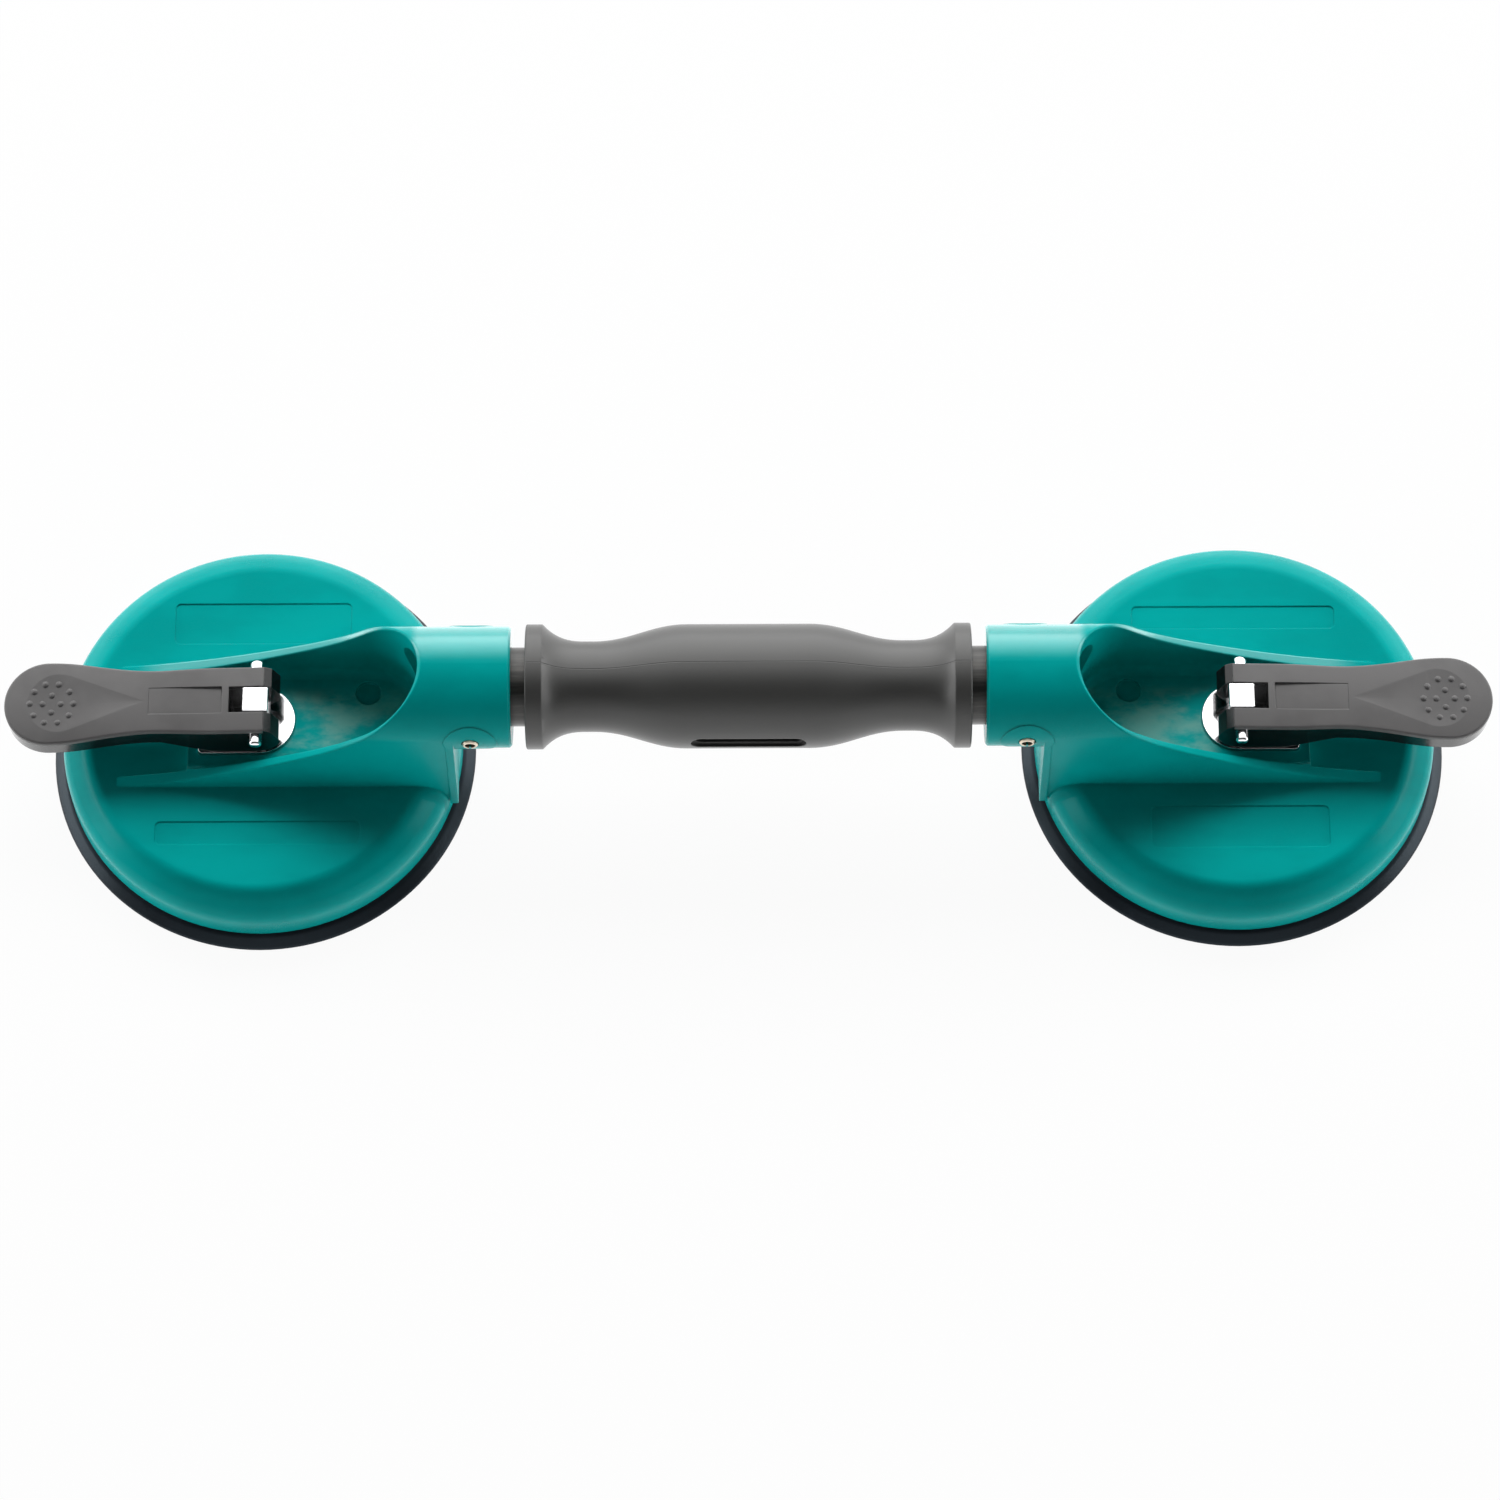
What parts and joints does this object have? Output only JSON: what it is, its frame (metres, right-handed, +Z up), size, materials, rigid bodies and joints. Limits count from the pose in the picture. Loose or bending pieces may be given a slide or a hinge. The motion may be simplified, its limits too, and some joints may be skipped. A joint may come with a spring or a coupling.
{
  "type": "floor tile suction lifter",
  "caption": "Two rubber suction pads under round housings, each clamped by a cam lever, joined by a tube handle with a moulded grip.",
  "frame": {"origin": "bottom centre of the tool, on the plane the two rubber pads rest on", "axes": "+X along the handle towards the right head, +Z up, away from the tile"},
  "size_m": [0.4166, 0.12, 0.0654],
  "materials": {
    "housing": "satin moulded teal",
    "rubber": "smooth",
    "plain_steel": "plain",
    "bright_steel": "bright plated",
    "pin_steel": "plated",
    "lever_plastic": "fine grained dark grey",
    "lever_gloss": "glossy black",
    "grip_plastic": "smooth grey",
    "tube_paint": "dark grey coat"
  },
  "bodies": {
    "frame": {"handle_tube": "tube_paint", "handle_grip": "grip_plastic", "housing_left": "housing", "suction_pad_left": "rubber", "wear_plate_left": "bright_steel", "cross_pin_left": "pin_steel", "housing_right": "housing", "suction_pad_right": "rubber", "wear_plate_right": "bright_steel", "cross_pin_right": "pin_steel"},
    "rod_left": {"pull_rod_left": "bright_steel", "backing_plate_left": "plain_steel"},
    "lever_left": {"lever_cover_left": "lever_plastic", "lever_yoke_left": "lever_gloss", "pivot_pin_left": "bright_steel"},
    "rod_right": {"pull_rod_right": "bright_steel", "backing_plate_right": "plain_steel"},
    "lever_right": {"lever_cover_right": "lever_plastic", "lever_yoke_right": "lever_gloss", "pivot_pin_right": "bright_steel"}
  },
  "joints": [
    {"name": "rod_slide_left", "type": "slide", "parent": "frame", "child": "rod_left", "axis": [0, 0, -1], "range_m": [0, 0.0056], "deforming": ["suction_pad_left"]},
    {"name": "lever_hinge_left", "type": "hinge", "parent": "rod_left", "child": "lever_left", "pos_m": [-0.1378, 0, 0.0365], "axis": [0, 1, 0], "range_deg": [0, 100]},
    {"name": "rod_slide_right", "type": "slide", "parent": "frame", "child": "rod_right", "axis": [0, 0, -1], "range_m": [0, 0.0056], "deforming": ["suction_pad_right"]},
    {"name": "lever_hinge_right", "type": "hinge", "parent": "rod_right", "child": "lever_right", "pos_m": [0.1378, 0, 0.0365], "axis": [0, -1, 0], "range_deg": [0, 100]}
  ],
  "couplings": [
    {"joint": "lever_hinge_left", "follows": "rod_slide_left", "rad_per_m": 311.67},
    {"joint": "lever_hinge_right", "follows": "rod_slide_right", "rad_per_m": 311.67}
  ]
}
